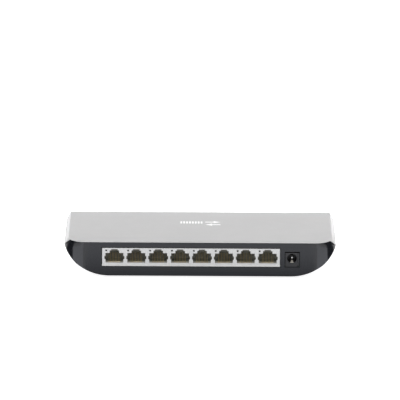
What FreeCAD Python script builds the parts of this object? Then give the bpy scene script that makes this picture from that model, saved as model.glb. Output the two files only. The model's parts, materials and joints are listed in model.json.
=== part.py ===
"""Eight-port desktop network switch, modelled as an assembly of separate pieces.

Units are millimetres.  +Z is up, -Y is the socket side (rear panel), +Y is the indicator side,
and the origin is the centre of the footprint on the surface that the rubber feet stand on.
"""

import FreeCAD
import Part

import math
import os

from FreeCAD import Vector

# ---------------------------------------------------------------- driving dimensions
WIDTH = 181.0
DEPTH = 90.0
HEIGHT = 25.5
FOOT_HEIGHT = 1.5
WALL = 2.0

REAR = -DEPTH / 2
FRONT = DEPTH / 2
BASE_Z = FOOT_HEIGHT  # underside of the lower shell

# cross-section of the casing, seen from the socket side
HALF = WIDTH / 2
FLAT_HALF = 60.5  # half width of the flat underside
BILGE_R = 33.0  # arc from the flat underside out to the widest line
WIDEST_Z = BASE_Z + BILGE_R - math.sqrt(BILGE_R**2 - (HALF - FLAT_HALF) ** 2)
TOP_HALF = 87.85  # half width of the flat top
COVER_INSET = 0.25  # the cover's sides stand this far inside the lower shell
SHOULDER_R = 1.3  # rounding between the flat top and the side skirt
LIP_R = 0.4  # rounding between the flat top and the rear lip
REAR_RIM_R = 1.0  # rounding between the rear wall and the bilge
FRONT_RIM_R = 3.0  # rounding between the front wall and the bilge

# corners of the casing in plan
CORNER_R_WIDE = 13.0
CORNER_R_TOP = 11.5
FRONT_CORNER_R = 3.0

# space inside the shells
INNER_HALF = HALF - 2.7
INNER_CORNER_R = 10.5
INNER_LEAN = 2.8

# the top rolls down towards the indicator side
ROLL_START_Y = 33.0
ROLL_R = 160.0
NOSE_START_Y = 41.0

# joint between the two shells
LIP = 1.0  # visible thickness of the cover over the rear wall
SEAM_GAP = 0.2
SEAM_RISE = 0.45  # how far the joint climbs round the rear corner
SEAM_RISE_Y = -44.6  # where it starts to climb
SEAM_TURN_TOP_Y = -39.3  # where it turns down
SEAM_TURN_LOW_Y = -33.6  # where it reaches the level of the widest line
TONGUE = 1.2
TONGUE_DEPTH = 1.2
SIDE_RIM_INSET = 1.2  # from the inside of the side walls to the cover's locating rim
REAR_RIM_HALF = 72.0
SLIDE_CLEARANCE = 0.3

# circuit board
BOARD_TOP = 8.3
BOARD_THICK = 1.6
BOARD_BOTTOM = BOARD_TOP - BOARD_THICK
BOARD_HALF_X = 72.0
BOARD_REAR = -42.6
BOARD_FRONT = 38.0
BOARD_SCREW_XY = [(-66.0, -24.0), (66.0, -4.0), (-60.0, 30.0), (60.0, 30.0)]

# larger parts on the board
TRANSFORMERS = 4
TRANSFORMER_Y = -16.5
TRANSFORMER_HALF = (8.8, 6.0)
CHIP_XY = (0.0, 9.0)
CHIP_HALF = 12.0
CHIP_TOP = BOARD_TOP + 1.5
PAD_HALF = 10.0
PAD_THICK = 0.5
SINK_HALF = 15.0
SINK_BASE = 2.0
SINK_TOP = 18.6
SINK_FINS = 9
FIN_THICK = 1.2

# eight-way modular socket block
PORTS = 8
PORT_PITCH = 14.54
BLOCK_X = -6.0
BLOCK_HALF = 59.12
BLOCK_TOP = 20.6
BLOCK_FACE_Y = -44.7
BLOCK_DEPTH = 18.4
SHEET = 0.3
FOLD_R = 0.4
GROOVE_Z = 9.45
LIP_OUT = 0.12  # how far the sheet's lower edge is kicked out
OPEN_HALF = 5.95
OPEN_LOW = 10.6
OPEN_HIGH = 17.15
STEP_HALF = 3.15
STEP_HIGH = 18.85
NOTCH_HALF = 2.15
NOTCH_HIGH = 19.8
SIDE_NOTCH_HALF = 6.65
SIDE_NOTCH_LOW = 12.85
SIDE_NOTCH_HIGH = 15.25
SIDE_NOTCH_CHAMFER = 0.12
CAVITY_DEPTH = 13.0
LATCH_DEPTH = 9.0
TEST_HOLE = (-5.4, 18.85, 0.58)  # small square hole beside each socket: x offset, z, half size
SHIELD_TAB_Y = (-38.0, -29.5)
PEG_R = 1.5
PEG_Y = -38.4
PEG_PORTS = (0, 3, 7)

# spring contacts of one socket
CONTACTS = 8
CONTACT_PITCH = 1.02
WIRE_WIDE = 0.46
WIRE_THICK = 0.35
PIVOT_DEPTH = 1.3  # behind the face of the block
PIVOT_Z = 10.95
KNUCKLE_R = 0.3
SLOT_HALF = 0.31
ARM_LENGTH = 10.2
ARM_ANGLE = 24.0
TAIL_Z = 9.6
PIN_DEPTHS = (9.8, 12.3)
PIN_LOW = 5.2

# barrel power socket
JACK_X = 61.05
JACK_LOW_X = JACK_X - 4.6
JACK_HIGH_X = JACK_X + 3.65
JACK_TOP = 17.9
JACK_FACE_Y = -44.5
JACK_DEPTH = 13.2
JACK_AXIS_Z = 14.0
JACK_BORE_R = 3.1
JACK_BORE_CHAMFER = 0.15
JACK_BORE_DEPTH = 9.5
JACK_PIN_R = 1.05
JACK_ROOT_R = 1.3  # knurled root of the centre pin, inside the moulding
JACK_PIN_RECESS = 2.6
JACK_RIB_X = 66.0  # side rib that fills the opening in the wall
LEAF_PIVOT_DEPTH = 8.8
LEAF_PIVOT_Z = 10.1
LEAF_THICK = 0.3
LEAF_HALF = 0.8
LEAF_NECK_HALF = 0.5
LEAF_FLARE_HALF = 1.1

# openings in the rear wall, as (low x, low z, high x, high z)
BLOCK_CUTOUT = (BLOCK_X - BLOCK_HALF - 0.25, 8.05, BLOCK_X + BLOCK_HALF + 0.25, BLOCK_TOP + 0.3)
JACK_CUTOUT = (JACK_LOW_X - 0.1, 8.05, JACK_RIB_X + 0.2, 18.5)

# indicators
INDICATORS = 9
INDICATOR_PITCH = 12.0
LED_Y = 36.4
PIPE_Z = 13.0
PIPE_HALF = 1.2
WINDOW_HALF = 62.0
WINDOW_LOW = 9.5
WINDOW_HIGH = 16.5
WINDOW_THICK = 1.2

# underside
FOOT_R = 5.5
FOOT_SEAT = 0.5
FOOT_X = 50.0
FOOT_REAR_Y = -28.0
FOOT_FRONT_Y = 32.0
KEYHOLE_X = 40.0
KEYHOLE_Y = -2.0
KEYHOLE_R = 3.5
KEYSLOT_R = 2.0
KEYSLOT_TRAVEL = 8.0
VENTS = 13
VENT_PITCH = 4.8
VENT_WIDE = 1.8
VENT_LENGTH = 20.0
VENT_Y = -5.0
LABEL_SIZE = (56.0, 24.0, 0.15)
LABEL_Y = 24.0

# screws that hold the shells together
CASE_SCREW_X = 68.0
CASE_SCREW_Y = 12.0
CASE_BOSS_R = 4.6
COVER_BOSS_R = 3.2
CASE_JOINT_Z = 7.5
CASE_HEAD_Z = 5.6
CASE_HEAD_R = 2.7
CASE_HEAD_H = 1.8
CASE_SHANK_R = 1.4
CASE_SHANK_L = 10.0

# screws that hold the board
BOARD_HEAD_R = 2.4
BOARD_HEAD_H = 1.5
BOARD_SHANK_R = 1.15
BOARD_SHANK_L = 4.0
BOARD_BOSS_R = 3.0
PILOT_CLEARANCE = 0.05


# ---------------------------------------------------------------- helpers
def box(x0, y0, z0, x1, y1, z1):
    """Box between two corners."""
    return Part.makeBox(x1 - x0, y1 - y0, z1 - z0, Vector(x0, y0, z0))


def cylinder(radius, height, x, y, z, direction=Vector(0, 0, 1)):
    return Part.makeCylinder(radius, height, Vector(x, y, z), direction)


def prism(points, direction):
    """Extrudes a closed outline of points along a direction."""
    wire = Part.makePolygon(points + [points[0]])
    return Part.Face(wire).extrude(direction)


def prism_xz(outline, y0, y1):
    """Extrudes an outline of (x, z) points from y0 to y1."""
    return prism([Vector(x, y0, z) for x, z in outline], Vector(0, y1 - y0, 0))


def prism_yz(outline, x0, x1):
    """Extrudes an outline of (y, z) points from x0 to x1."""
    return prism([Vector(x0, y, z) for y, z in outline], Vector(x1 - x0, 0, 0))


def prism_xy(outline, z0, z1):
    """Extrudes an outline of (x, y) points from z0 to z1."""
    return prism([Vector(x, y, z0) for x, y in outline], Vector(0, 0, z1 - z0))


def fuse_all(shapes):
    return shapes[0].multiFuse(shapes[1:]).removeSplitter()


def slot(x0, x1, radius, y, z0, z1, along_y=False):
    """Round-ended slot through z0..z1, between two centres along X, or along Y at x = y."""
    if along_y:
        ends = [cylinder(radius, z1 - z0, y, c, z0) for c in (x0, x1)]
        middle = box(y - radius, x0, z0, y + radius, x1, z1)
    else:
        ends = [cylinder(radius, z1 - z0, c, y, z0) for c in (x0, x1)]
        middle = box(x0, y - radius, z0, x1, y + radius, z1)
    return fuse_all([middle] + ends)


def mirrored(shape):
    return shape.mirror(Vector(0, 0, 0), Vector(1, 0, 0))


def export(name, shape):
    """Writes one sub-part; a list becomes a group of separate solids."""
    if isinstance(shape, list):
        shape = Part.makeCompound(shape)
    for solid in shape.Solids:
        if not solid.isValid() or solid.Volume <= 0:
            raise RuntimeError(name + " holds a bad solid")
    shape.exportStep("parts/" + name + ".step")
    print(f"{name:28s} solids {len(shape.Solids):3d}  volume {shape.Volume:10.2f} mm3")


# ---------------------------------------------------------------- casing form
def plan_outline(half, z, rear_r, front_r, rear=REAR, front=FRONT):
    """Closed plan outline at height z: a rectangle with its own rear and front corner radii."""
    diagonal = math.sqrt(0.5)

    def arc(cx, cy, r, sx, sy):
        first = Vector(cx + sx * r, cy, z)
        middle = Vector(cx + sx * r * diagonal, cy + sy * r * diagonal, z)
        last = Vector(cx, cy + sy * r, z)
        return first, middle, last

    fr = arc(half - front_r, front - front_r, front_r, 1, 1)
    fl = arc(-half + front_r, front - front_r, front_r, -1, 1)
    rl = arc(-half + rear_r, rear + rear_r, rear_r, -1, -1)
    rr = arc(half - rear_r, rear + rear_r, rear_r, 1, -1)
    edges = [
        Part.Arc(*fr).toShape(),
        Part.LineSegment(fr[2], fl[2]).toShape(),
        Part.Arc(fl[2], fl[1], fl[0]).toShape(),
        Part.LineSegment(fl[0], rl[0]).toShape(),
        Part.Arc(*rl).toShape(),
        Part.LineSegment(rl[2], rr[2]).toShape(),
        Part.Arc(rr[2], rr[1], rr[0]).toShape(),
        Part.LineSegment(rr[0], fr[0]).toShape(),
    ]
    return Part.Wire(edges)


def bilge_point(inset, z):
    """Half width of the bilge arc at level z, for an arc that is smaller by inset."""
    return FLAT_HALF + math.sqrt((BILGE_R - inset) ** 2 - (BASE_Z + BILGE_R - z) ** 2)


def bilge_section(y, inset):
    """Cross-section of the lower shell at y: flat underside and an arc at each side."""
    low = BASE_Z + inset
    wide = bilge_point(inset, WIDEST_Z)
    middle_z = low + (WIDEST_Z - low) * 0.3
    middle = bilge_point(inset, middle_z)
    edges = [
        Part.LineSegment(Vector(-FLAT_HALF, y, low), Vector(FLAT_HALF, y, low)).toShape(),
        Part.LineSegment(Vector(-wide, y, WIDEST_Z), Vector(wide, y, WIDEST_Z)).toShape(),
    ]
    for side in (-1, 1):
        lowest = Vector(side * FLAT_HALF, y, low)
        halfway = Vector(side * middle, y, middle_z)
        widest = Vector(side * wide, y, WIDEST_Z)
        edges.append(Part.Arc(lowest, halfway, widest).toShape())
    return Part.Wire(Part.__sortEdges__(edges))


def bilge_rim(y, radius, inward, steps):
    """Rounded rim from the wall at y in to the full cross-section."""
    sections = []
    for i in range(steps + 1):
        angle = math.radians(90.0 * i / steps)
        station = y + inward * radius * (1 - math.sin(angle))
        sections.append(bilge_section(station, radius * (1 - math.cos(angle))))
    return Part.makeLoft(sections, True, True)


def hull_form():
    """Solid form of the lower shell, up to the widest line."""
    middle = Part.Face(bilge_section(REAR + REAR_RIM_R, 0)).extrude(
        Vector(0, DEPTH - REAR_RIM_R - FRONT_RIM_R, 0)
    )
    rims = [bilge_rim(REAR, REAR_RIM_R, 1, 5), bilge_rim(FRONT, FRONT_RIM_R, -1, 7)]
    plan = Part.Face(plan_outline(HALF, BASE_Z - 1, CORNER_R_WIDE, FRONT_CORNER_R))
    return middle.multiFuse(rims).common(plan.extrude(Vector(0, 0, WIDEST_Z - BASE_Z + 1)))


def skirt_form(widest):
    """Solid form above the widest line: the sides lean in, then round over to the flat top."""
    lean = math.atan2(widest - TOP_HALF, HEIGHT - WIDEST_Z)
    tangent = SHOULDER_R * math.tan((math.pi / 2 - lean) / 2)
    centre_x = TOP_HALF - tangent
    centre_z = HEIGHT - SHOULDER_R
    stations = [(widest, WIDEST_Z)]
    steps = 7
    for i in range(steps + 1):
        angle = lean + (math.pi / 2 - lean) * i / steps
        stations.append(
            (centre_x + SHOULDER_R * math.cos(angle), centre_z + SHOULDER_R * math.sin(angle))
        )
    sections = []
    for half, z in stations:
        over = max(0.0, z - (HEIGHT - LIP_R))
        inset = LIP_R - math.sqrt(max(0.0, LIP_R**2 - over**2))
        share = (z - WIDEST_Z) / (HEIGHT - WIDEST_Z)
        radius = CORNER_R_WIDE + (CORNER_R_TOP - CORNER_R_WIDE) * share
        sections.append(plan_outline(half, z, radius, FRONT_CORNER_R, REAR + inset))
    return Part.makeLoft(sections, True, True)


def side_envelope():
    """What lies under the top surface in side view, including its roll to the front."""
    slope = math.asin((NOSE_START_Y - ROLL_START_Y) / ROLL_R)
    nose_z = HEIGHT - ROLL_R * (1 - math.cos(slope))
    nose_r = (FRONT - NOSE_START_Y) / (1 - math.sin(slope))
    centre_y = FRONT - nose_r
    centre_z = nose_z - nose_r * math.cos(slope)
    half_slope = slope / 2
    nose_middle = (slope + math.pi / 2) / 2
    x = -HALF - 5
    over = 5.0

    def at(y, z):
        return Vector(x, y, z)

    start = at(ROLL_START_Y, HEIGHT)
    roll_end = at(NOSE_START_Y, nose_z)
    nose_end = at(FRONT, centre_z)
    roll_mid = at(
        ROLL_START_Y + ROLL_R * math.sin(half_slope),
        HEIGHT - ROLL_R * (1 - math.cos(half_slope)),
    )
    nose_mid = at(
        centre_y + nose_r * math.sin(nose_middle), centre_z + nose_r * math.cos(nose_middle)
    )
    rear_low = at(REAR - over, -over)
    rear_high = at(REAR - over, HEIGHT)
    front_low = at(FRONT, -over)
    edges = [
        Part.LineSegment(rear_low, rear_high).toShape(),
        Part.LineSegment(rear_high, start).toShape(),
        Part.Arc(start, roll_mid, roll_end).toShape(),
        Part.Arc(roll_end, nose_mid, nose_end).toShape(),
        Part.LineSegment(nose_end, front_low).toShape(),
        Part.LineSegment(front_low, rear_low).toShape(),
    ]
    return Part.Face(Part.Wire(edges)).extrude(Vector(2 * HALF + 10, 0, 0))


def above_seam(drop=0.0):
    """Region of the cover; drop lowers it to leave the gap between the shells."""
    far = FRONT + 10
    top = HEIGHT + 10
    lip_z = HEIGHT - LIP - drop
    side_z = WIDEST_Z - drop
    outline = [
        (-far, lip_z),
        (SEAM_RISE_Y, lip_z),
        (SEAM_TURN_TOP_Y - drop, lip_z + SEAM_RISE),
        (SEAM_TURN_LOW_Y - drop, side_z),
        (far, side_z),
        (far, top),
        (-far, top),
    ]
    return prism_yz(outline, -HALF - 10, HALF + 10)


def inner_section(y):
    """Cross-section of the space inside the shells, as a face at y."""
    low = BASE_Z + WALL
    steps = 12
    side = []
    for i in range(steps + 1):
        z = low + (WIDEST_Z - low) * (i / steps) ** 2
        side.append((min(INNER_HALF, bilge_point(WALL, z)), z))
    side.append((INNER_HALF - INNER_LEAN, HEIGHT - WALL))
    outline = [(-x, z) for x, z in reversed(side)] + side
    return Part.Face(Part.makePolygon([Vector(x, y, z) for x, z in outline + outline[:1]]))


def cavity_form():
    """The space inside both shells."""
    bar = inner_section(REAR).extrude(Vector(0, DEPTH, 0))
    plan = Part.Face(
        plan_outline(INNER_HALF + 0.4, 0, INNER_CORNER_R, FRONT_CORNER_R, REAR + WALL, FRONT - WALL)
    ).extrude(Vector(0, 0, HEIGHT))
    roof = prism_yz(
        [
            (REAR - 1, -1),
            (FRONT, -1),
            (FRONT - WALL, 20.4),
            (FRONT - 2.6, 21.8),
            (FRONT - 4.2, 22.9),
            (FRONT - 7.5, HEIGHT - WALL - 0.2),
            (ROLL_START_Y, HEIGHT - WALL),
            (REAR - 1, HEIGHT - WALL),
        ],
        -HALF,
        HALF,
    )
    return bar.common(plan).common(roof)


# ---------------------------------------------------------------- shells
def tongue(inset, thick, z0, z1, y0, y1):
    """Locating rim that follows the inside of the walls between two levels."""

    def outline(gap, front_r):
        rear, front = REAR + WALL + gap, FRONT - WALL - gap
        return plan_outline(INNER_HALF - gap, z0, INNER_CORNER_R - gap, front_r, rear, front)

    outer = outline(inset, FRONT_CORNER_R)
    inner = outline(inset + thick, FRONT_CORNER_R - thick)
    lift = Vector(0, 0, z1 - z0)
    ring = Part.Face(outer).extrude(lift).cut(Part.Face(inner).extrude(lift))
    return ring.common(box(-HALF, y0, z0, HALF, y1, z1))


def top_cover(skirt, cavity, envelope):
    shell = skirt.common(above_seam()).common(envelope).cut(cavity)
    plug = Part.Face(
        plan_outline(
            INNER_HALF - 3.2,
            HEIGHT - WALL,
            INNER_CORNER_R - SLIDE_CLEARANCE,
            FRONT_CORNER_R,
            REAR + WALL + SLIDE_CLEARANCE,
            ROLL_START_Y,
        )
    ).extrude(Vector(0, 0, WALL - 0.5))
    side_rim = tongue(
        SIDE_RIM_INSET,
        TONGUE,
        WIDEST_Z - TONGUE_DEPTH,
        HEIGHT - WALL + 0.1,
        SEAM_TURN_LOW_Y + 1.0,
        FRONT - 6.0,
    ).common(cavity)
    rear_rim = tongue(
        SLIDE_CLEARANCE, TONGUE, HEIGHT - WALL - 1.6, HEIGHT - WALL + 0.1, REAR, SEAM_TURN_LOW_Y - 4.0
    ).common(box(-REAR_RIM_HALF, REAR, 0, REAR_RIM_HALF, 0, HEIGHT))
    bosses = []
    pilots = []
    for x in (-CASE_SCREW_X, CASE_SCREW_X):
        bosses.append(
            cylinder(COVER_BOSS_R, HEIGHT - WALL + 0.2 - CASE_JOINT_Z, x, CASE_SCREW_Y, CASE_JOINT_Z)
        )
        pilots.append(
            cylinder(
                CASE_SHANK_R + PILOT_CLEARANCE, CASE_SHANK_L, x, CASE_SCREW_Y, CASE_JOINT_Z - 1.0
            )
        )
    whole = shell.multiFuse([plug, side_rim, rear_rim] + bosses)
    return whole.cut(Part.makeCompound(pilots)).removeSplitter()


def rectangle(x0, z0, x1, z1, y):
    corners = [Vector(x0, y, z0), Vector(x1, y, z0), Vector(x1, y, z1), Vector(x0, y, z1)]
    return Part.makePolygon(corners + [corners[0]])


def rear_wall_cutouts():
    """Openings for the sockets, each with a small chamfer round its mouth."""
    flare = 0.15
    cuts = []
    for x0, z0, x1, z1 in (BLOCK_CUTOUT, JACK_CUTOUT):
        cuts.append(box(x0, REAR - 1, z0, x1, REAR + WALL + 0.6, z1))
        wider = 2 * flare
        mouth = rectangle(x0 - wider, z0 - wider, x1 + wider, z1 + wider, REAR - flare)
        throat = rectangle(x0, z0, x1, z1, REAR + flare)
        cuts.append(Part.makeLoft([mouth, throat], True, True))
    return cuts


def underside_cuts():
    cuts = []
    low = BASE_Z - 1
    high = BASE_Z + WALL + 0.5
    for i in range(VENTS):
        x = (i - (VENTS - 1) / 2) * VENT_PITCH
        half = VENT_LENGTH / 2 - VENT_WIDE / 2
        cuts.append(slot(VENT_Y - half, VENT_Y + half, VENT_WIDE / 2, x, low, high, True))
    for x in (-KEYHOLE_X, KEYHOLE_X):
        cuts.append(cylinder(KEYHOLE_R, high - low, x, KEYHOLE_Y, low))
        cuts.append(slot(KEYHOLE_Y, KEYHOLE_Y + KEYSLOT_TRAVEL, KEYSLOT_R, x, low, high, True))
    for x in (-FOOT_X, FOOT_X):
        for y in (FOOT_REAR_Y, FOOT_FRONT_Y):
            cuts.append(cylinder(FOOT_R + 0.15, 1 + FOOT_SEAT, x, y, low))
    for x in (-CASE_SCREW_X, CASE_SCREW_X):
        cuts.append(cylinder(CASE_HEAD_R + 0.4, CASE_HEAD_Z - low, x, CASE_SCREW_Y, low))
        cuts.append(cylinder(CASE_SHANK_R + 0.3, 10, x, CASE_SCREW_Y, low))
    return cuts


def front_wall_cuts():
    half = WINDOW_HALF + 0.1
    seat_y = FRONT - WINDOW_THICK
    cuts = [box(-half, seat_y, WINDOW_LOW - 0.1, half, FRONT + 1, WINDOW_HIGH + 0.1)]
    reach = PIPE_HALF + 0.2
    low, high = PIPE_Z - reach, PIPE_Z + reach
    for i in range(INDICATORS):
        x = indicator_x(i)
        cuts.append(box(x - reach, FRONT - WALL - 1, low, x + reach, FRONT, high))
    return cuts


def bottom_housing(hull, skirt, cavity, envelope):
    form = hull.fuse(skirt).common(envelope).cut(above_seam(SEAM_GAP))
    well = cavity.fuse(
        Part.Face(
            plan_outline(
                INNER_HALF - 2.8, HEIGHT - WALL - 0.1, INNER_CORNER_R, FRONT_CORNER_R, REAR + WALL, 0
            )
        ).extrude(Vector(0, 0, 5))
    )
    shell = form.cut(well)
    bosses = []
    for x, y in BOARD_SCREW_XY:
        bosses.append(cylinder(BOARD_BOSS_R, BOARD_BOTTOM - 3.0, x, y, 3.0))
    for x in (-CASE_SCREW_X, CASE_SCREW_X):
        bosses.append(cylinder(CASE_BOSS_R, CASE_JOINT_Z - 3.0, x, CASE_SCREW_Y, 3.0))
    bosses = [b.common(hull) for b in bosses]
    whole = shell.multiFuse(bosses)
    cuts = rear_wall_cutouts() + underside_cuts() + front_wall_cuts()
    for x, y in BOARD_SCREW_XY:
        cuts.append(
            cylinder(BOARD_SHANK_R + PILOT_CLEARANCE, 10, x, y, BOARD_TOP - BOARD_SHANK_L - 0.4)
        )
    return whole.cut(cuts).removeSplitter()


def front_window():
    plate = box(
        -WINDOW_HALF, FRONT - WINDOW_THICK, WINDOW_LOW, WINDOW_HALF, FRONT - 0.1, WINDOW_HIGH
    )
    corners = [e for e in plate.Edges if abs(e.BoundBox.YLength - (WINDOW_THICK - 0.1)) < 1e-6]
    plate = plate.makeFillet(1.0, corners)
    rim = [e for e in plate.Edges if abs(e.BoundBox.YMin - (FRONT - 0.1)) < 1e-6]
    return plate.makeChamfer(0.25, rim)


# ---------------------------------------------------------------- indicators
def indicator_x(i):
    return (i - (INDICATORS - 1) / 2) * INDICATOR_PITCH


def light_pipe():
    """Clear comb that turns the light of each lamp on the board towards the front."""
    low = BOARD_TOP + 1.0
    elbow_y = LED_Y + PIPE_HALF
    back_y = LED_Y - PIPE_HALF
    high = PIPE_Z + PIPE_HALF
    fingers = []
    for i in range(INDICATORS):
        x = indicator_x(i)
        outline = [
            (back_y, low),
            (elbow_y, low),
            (elbow_y, PIPE_Z - PIPE_HALF),
            (FRONT - WINDOW_THICK - 0.05, PIPE_Z - PIPE_HALF),
            (FRONT - WINDOW_THICK - 0.05, high),
            (elbow_y - 0.4, high),
            (back_y, high - 2.0),
        ]
        fingers.append(prism_yz(outline, x - PIPE_HALF, x + PIPE_HALF))
    end = indicator_x(INDICATORS - 1) + 5.0
    bar = box(-end, elbow_y - 0.6, PIPE_Z - 0.8, end, elbow_y + 0.8, PIPE_Z + 0.8)
    legs = [
        box(x - 1.0, elbow_y - 0.6, BOARD_TOP, x + 1.0, elbow_y + 0.8, PIPE_Z)
        for x in (-end + 1.0, end - 1.0)
    ]
    return fuse_all([bar] + fingers + legs)


def indicator_leds():
    y0, y1 = LED_Y - 0.4, LED_Y + 0.4
    centres = [indicator_x(i) for i in range(INDICATORS)]
    return [box(x - 0.8, y0, BOARD_TOP, x + 0.8, y1, BOARD_TOP + 0.7) for x in centres]


# ---------------------------------------------------------------- socket block
def port_x(i):
    return BLOCK_X + (i - (PORTS - 1) / 2) * PORT_PITCH


def contact_x(port, contact):
    return port_x(port) + (contact - (CONTACTS - 1) / 2) * CONTACT_PITCH


def opening_outline(x, extra=0.0):
    """Outline of one modular socket mouth: body, latch step, latch notch and side notches."""
    half = OPEN_HALF + extra
    right = [
        (half, OPEN_LOW - extra),
        (half, SIDE_NOTCH_LOW),
        (SIDE_NOTCH_HALF + extra, SIDE_NOTCH_LOW + SIDE_NOTCH_CHAMFER),
        (SIDE_NOTCH_HALF + extra, SIDE_NOTCH_HIGH - SIDE_NOTCH_CHAMFER),
        (half, SIDE_NOTCH_HIGH),
        (half, OPEN_HIGH + extra),
        (STEP_HALF + extra, OPEN_HIGH + extra),
        (STEP_HALF + extra, STEP_HIGH + extra),
        (NOTCH_HALF + extra, STEP_HIGH + extra + 0.1),
        (NOTCH_HALF + extra, NOTCH_HIGH + extra),
    ]
    left = [(-u, z) for u, z in reversed(right)]
    return [(x + u, z) for u, z in right + left]


def test_hole(x, y0, y1):
    dx, z, half = TEST_HOLE
    return box(x + dx - half, y0, z - half, x + dx + half, y1, z + half)


def port_shield():
    """Folded sheet box round the socket block, open below."""
    x0 = BLOCK_X - BLOCK_HALF
    x1 = BLOCK_X + BLOCK_HALF
    y1 = BLOCK_FACE_Y + BLOCK_DEPTH
    outer = box(x0, BLOCK_FACE_Y, BOARD_TOP, x1, y1, BLOCK_TOP)
    folds = []
    for edge in outer.Edges:
        bounds = edge.BoundBox
        on_face = bounds.YMax < BLOCK_FACE_Y + 0.01 and bounds.ZMax > BLOCK_TOP - 0.01
        on_side = bounds.ZMin > BLOCK_TOP - 0.01 and bounds.YLength > 1
        if on_face or on_side:
            folds.append(edge)
    outer = outer.makeFillet(FOLD_R, folds)
    inner = box(
        x0 + SHEET, BLOCK_FACE_Y + SHEET, BOARD_TOP - 1, x1 - SHEET, y1 - SHEET, BLOCK_TOP - SHEET
    )
    bottom_lip = prism_yz(
        [
            (BLOCK_FACE_Y + 0.1, BOARD_TOP),
            (BLOCK_FACE_Y - LIP_OUT, BOARD_TOP),
            (BLOCK_FACE_Y - LIP_OUT, BOARD_TOP + 0.35),
            (BLOCK_FACE_Y, GROOVE_Z),
            (BLOCK_FACE_Y + 0.1, GROOVE_Z),
        ],
        x0,
        x1,
    )
    shell = outer.cut(inner).fuse(bottom_lip)
    cuts = []
    for i in range(PORTS):
        x = port_x(i)
        cuts.append(prism_xz(opening_outline(x), BLOCK_FACE_Y - 1, BLOCK_FACE_Y + SHEET + 0.1))
        cuts.append(test_hole(x, BLOCK_FACE_Y - 1, BLOCK_FACE_Y + SHEET + 0.1))
    shell = shell.cut(cuts)
    groove = box(x0 - 1, BLOCK_FACE_Y - 1, GROOVE_Z, x1 + 1, BLOCK_FACE_Y + 0.1, GROOVE_Z + 0.2)
    shell = shell.cut(groove)
    tabs = []
    for x in (x0, x1 - SHEET):
        for y in SHIELD_TAB_Y:
            tabs.append(box(x, y - 0.6, BOARD_BOTTOM - 1.4, x + SHEET, y + 0.6, BOARD_TOP + 0.5))
    return fuse_all([shell] + tabs)


def port_housing():
    """Moulded insert with the eight socket cavities, the contact slots and the locating pegs."""
    back = BLOCK_FACE_Y + BLOCK_DEPTH - SHEET
    front = BLOCK_FACE_Y + SHEET
    side = BLOCK_HALF - SHEET
    body = box(BLOCK_X - side, front, BOARD_TOP, BLOCK_X + side, back, BLOCK_TOP - SHEET)
    pegs = [cylinder(PEG_R, 3.5, port_x(i), PEG_Y, BOARD_TOP - 3.0) for i in PEG_PORTS]
    deep = BLOCK_FACE_Y + CAVITY_DEPTH
    latch = BLOCK_FACE_Y + LATCH_DEPTH
    cuts = []
    for i in range(PORTS):
        x = port_x(i)
        half = OPEN_HALF + 0.05
        cuts.append(box(x - half, front - 1, OPEN_LOW - 0.05, x + half, deep, OPEN_HIGH + 0.05))
        half = SIDE_NOTCH_HALF + 0.35
        cuts.append(box(x - half, front - 1, SIDE_NOTCH_LOW, x + half, front + 5.7, SIDE_NOTCH_HIGH))
        half = STEP_HALF + 0.25
        cuts.append(box(x - half, front - 1, OPEN_HIGH - 0.5, x + half, latch, STEP_HIGH + 0.05))
        half = NOTCH_HALF + 0.05
        cuts.append(box(x - half, front - 1, STEP_HIGH - 0.5, x + half, latch, NOTCH_HIGH))
        cuts.append(test_hole(x, front - 1, front + 3.0))
        cuts += [contact_slot(i, k) for k in range(CONTACTS)]
        cuts += [contact_pin_hole(i, k) for k in range(CONTACTS)]
    return body.multiFuse(pegs).cut(cuts).removeSplitter()


def contact_slot(port, contact):
    """Groove in the cavity floor that one contact lies in."""
    x = contact_x(port, contact)
    y0 = BLOCK_FACE_Y + SHEET + 0.4
    y1 = BLOCK_FACE_Y + CAVITY_DEPTH - 0.3
    return box(x - SLOT_HALF, y0, TAIL_Z - 0.1, x + SLOT_HALF, y1, OPEN_LOW + 0.5)


def contact_pin_hole(port, contact):
    """Hole through the insert's floor for one contact's solder pin."""
    x = contact_x(port, contact)
    y = BLOCK_FACE_Y + PIN_DEPTHS[contact % 2]
    return box(x - SLOT_HALF, y - 0.3, BOARD_TOP - 1, x + SLOT_HALF, y + 0.3, TAIL_Z)


def contact_tail(port, contact):
    """Fixed leg of one contact: riser under the pivot, run below the cavity floor, pin."""
    x = contact_x(port, contact)
    half = WIRE_WIDE / 2
    thick = WIRE_THICK
    pivot_y = BLOCK_FACE_Y + PIVOT_DEPTH
    pin_y = BLOCK_FACE_Y + PIN_DEPTHS[contact % 2]
    riser_top = PIVOT_Z - KNUCKLE_R - 0.05
    outline = [
        (pivot_y - thick / 2, TAIL_Z),
        (pin_y - thick / 2, TAIL_Z),
        (pin_y - thick / 2, PIN_LOW),
        (pin_y + thick / 2, PIN_LOW),
        (pin_y + thick / 2, TAIL_Z + thick),
        (pivot_y + thick / 2, TAIL_Z + thick),
        (pivot_y + thick / 2, riser_top),
        (pivot_y - thick / 2, riser_top),
    ]
    return prism_yz(outline, x - half, x + half)


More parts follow.
